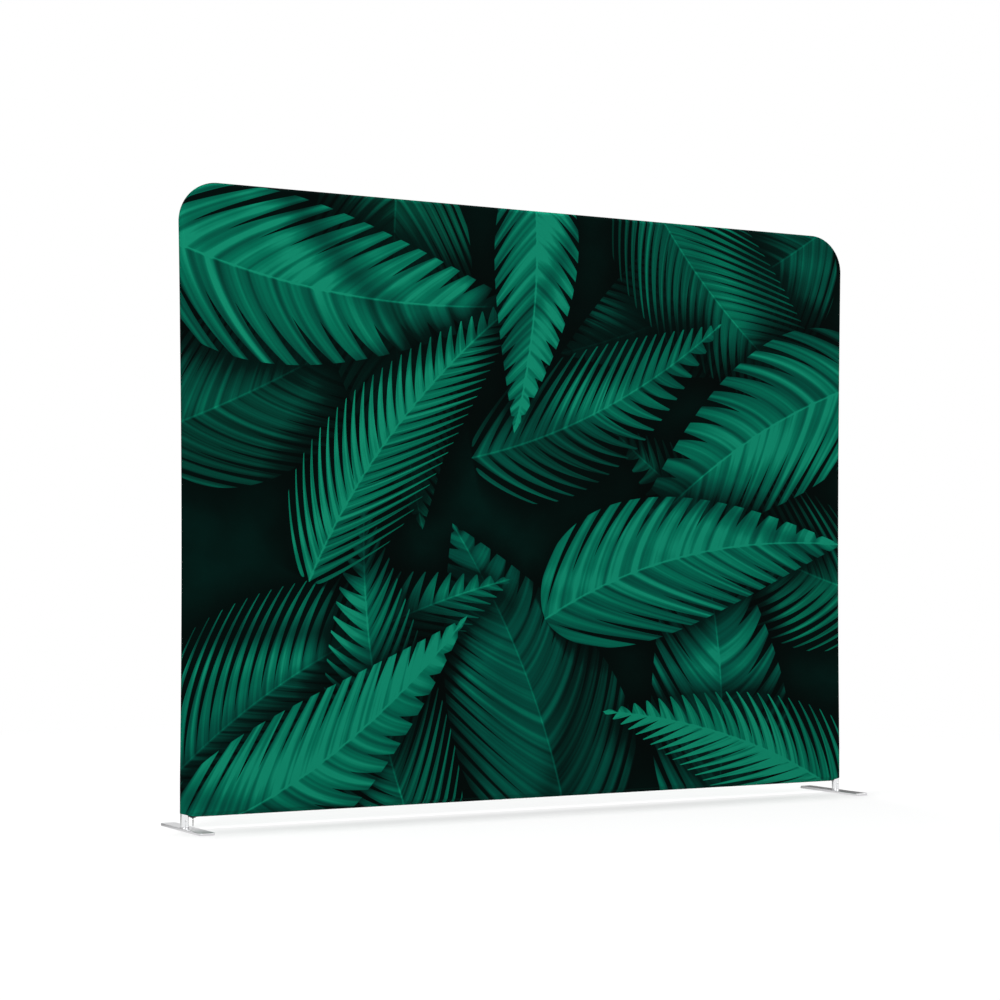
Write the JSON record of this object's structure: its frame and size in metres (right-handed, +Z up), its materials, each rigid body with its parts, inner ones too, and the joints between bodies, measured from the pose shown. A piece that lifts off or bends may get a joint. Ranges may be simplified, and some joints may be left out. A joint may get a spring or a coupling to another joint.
{
  "type": "fabric room divider",
  "caption": "Wide free-standing room divider: a zipped fabric cover stretched over a round tube frame with bent top corners, on flat crosswise foot plates.",
  "frame": {"origin": "on the floor, midway between the two feet, on the panel's middle plane", "axes": "+X along the panel to the right as seen from the front, +Y through the panel from the front face to the back, +Z up"},
  "size_m": [2, 0.265, 1.575],
  "materials": {
    "tube": "satin anodised",
    "sleeve": "mill",
    "foot_plate": "bright satin",
    "spigot": "turned",
    "screw": "zinc plated",
    "spring": "rolled strip",
    "button": "polished",
    "cover": "printed polyester knit",
    "pole_end": "moulded",
    "zip_tape": "woven tape",
    "zip_coil": "nylon coil",
    "zip_slider": "dark coated die casting",
    "zip_pull": "nickel plated",
    "zip_stop": "pressed"
  },
  "bodies": {
    "frame_and_cover": {"bottom_joint_left_sleeve": "sleeve", "bottom_joint_left_spring": "spring", "bottom_joint_right_sleeve": "sleeve", "bottom_joint_right_spring": "spring", "bottom_stub_left": "sleeve", "bottom_stub_right": "sleeve", "bottom_tube_centre": "tube", "bottom_tube_left": "tube", "bottom_tube_right": "tube", "corner_tube_left": "tube", "corner_tube_right": "tube", "cover_back": "cover", "cover_front": "cover", "foot_plate_left": "foot_plate", "foot_plate_right": "foot_plate", "foot_screws": "screw", "foot_spigot_left": "spigot", "foot_spigot_right": "spigot", "foot_spring_left": "spring", "foot_spring_right": "spring", "pole_end_bottom": "pole_end", "pole_end_top": "pole_end", "pole_joint_sleeve": "sleeve", "pole_joint_spring": "spring", "pole_tube_lower": "tube", "pole_tube_upper": "tube", "side_joint_left_sleeve": "sleeve", "side_joint_left_spring": "spring", "side_joint_right_sleeve": "sleeve", "side_joint_right_spring": "spring", "stub_spring_left": "spring", "stub_spring_right": "spring", "top_joint_left_sleeve": "sleeve", "top_joint_left_spring": "spring", "top_joint_right_sleeve": "sleeve", "top_joint_right_spring": "spring", "top_tube": "tube", "upright_tube_left": "tube", "upright_tube_right": "tube", "zip_coil_back": "zip_coil", "zip_coil_front": "zip_coil", "zip_stops": "zip_stop", "zip_tape_back": "zip_tape", "zip_tape_front": "zip_tape"},
    "foot_button_left": {"foot_button_left": "button"},
    "foot_button_right": {"foot_button_right": "button"},
    "stub_button_left": {"stub_button_left": "button"},
    "stub_button_right": {"stub_button_right": "button"},
    "bottom_joint_left_button": {"bottom_joint_left_button": "button"},
    "bottom_joint_right_button": {"bottom_joint_right_button": "button"},
    "top_joint_left_button": {"top_joint_left_button": "button"},
    "top_joint_right_button": {"top_joint_right_button": "button"},
    "side_joint_left_button": {"side_joint_left_button": "button"},
    "side_joint_right_button": {"side_joint_right_button": "button"},
    "pole_joint_button": {"pole_joint_button": "button"},
    "zip_slider": {"zip_slider": "zip_slider"},
    "zip_pull": {"zip_pull": "zip_pull"}
  },
  "joints": [
    {"name": "foot_button_left_press", "type": "slide", "parent": "frame_and_cover", "child": "foot_button_left", "axis": [0, 1, 0], "range_m": [0, 0.0032], "stiffness_N_per_m": 1500, "deforming": ["foot_spring_left"]},
    {"name": "foot_button_right_press", "type": "slide", "parent": "frame_and_cover", "child": "foot_button_right", "axis": [0, 1, 0], "range_m": [0, 0.0032], "stiffness_N_per_m": 1500, "deforming": ["foot_spring_right"]},
    {"name": "stub_button_left_press", "type": "slide", "parent": "frame_and_cover", "child": "stub_button_left", "axis": [0, 0, -1], "range_m": [0, 0.0032], "stiffness_N_per_m": 1500, "deforming": ["stub_spring_left"]},
    {"name": "stub_button_right_press", "type": "slide", "parent": "frame_and_cover", "child": "stub_button_right", "axis": [0, 0, -1], "range_m": [0, 0.0032], "stiffness_N_per_m": 1500, "deforming": ["stub_spring_right"]},
    {"name": "bottom_joint_left_button_press", "type": "slide", "parent": "frame_and_cover", "child": "bottom_joint_left_button", "axis": [0, 0, -1], "range_m": [0, 0.0032], "stiffness_N_per_m": 1500, "deforming": ["bottom_joint_left_spring"]},
    {"name": "bottom_joint_right_button_press", "type": "slide", "parent": "frame_and_cover", "child": "bottom_joint_right_button", "axis": [0, 0, -1], "range_m": [0, 0.0032], "stiffness_N_per_m": 1500, "deforming": ["bottom_joint_right_spring"]},
    {"name": "top_joint_left_button_press", "type": "slide", "parent": "frame_and_cover", "child": "top_joint_left_button", "axis": [0, 0, 1], "range_m": [0, 0.0032], "stiffness_N_per_m": 1500, "deforming": ["top_joint_left_spring"]},
    {"name": "top_joint_right_button_press", "type": "slide", "parent": "frame_and_cover", "child": "top_joint_right_button", "axis": [0, 0, 1], "range_m": [0, 0.0032], "stiffness_N_per_m": 1500, "deforming": ["top_joint_right_spring"]},
    {"name": "side_joint_left_button_press", "type": "slide", "parent": "frame_and_cover", "child": "side_joint_left_button", "axis": [-0.9999, 0, -0.0114], "range_m": [0, 0.0032], "stiffness_N_per_m": 1500, "deforming": ["side_joint_left_spring"]},
    {"name": "side_joint_right_button_press", "type": "slide", "parent": "frame_and_cover", "child": "side_joint_right_button", "axis": [0.9999, 0, -0.0114], "range_m": [0, 0.0032], "stiffness_N_per_m": 1500, "deforming": ["side_joint_right_spring"]},
    {"name": "pole_joint_button_press", "type": "slide", "parent": "frame_and_cover", "child": "pole_joint_button", "axis": [-1, 0, 0], "range_m": [0, 0.0032], "stiffness_N_per_m": 1500, "deforming": ["pole_joint_spring"]},
    {"name": "zip_slide", "type": "slide", "parent": "frame_and_cover", "child": "zip_slider", "axis": [1, 0, 0], "range_m": [0, 1.92]},
    {"name": "zip_pull_swing", "type": "hinge", "parent": "zip_slider", "child": "zip_pull", "pos_m": [-0.96275, 0, 0.0284], "axis": [0, 1, 0], "range_deg": [-80, 35]}
  ]
}
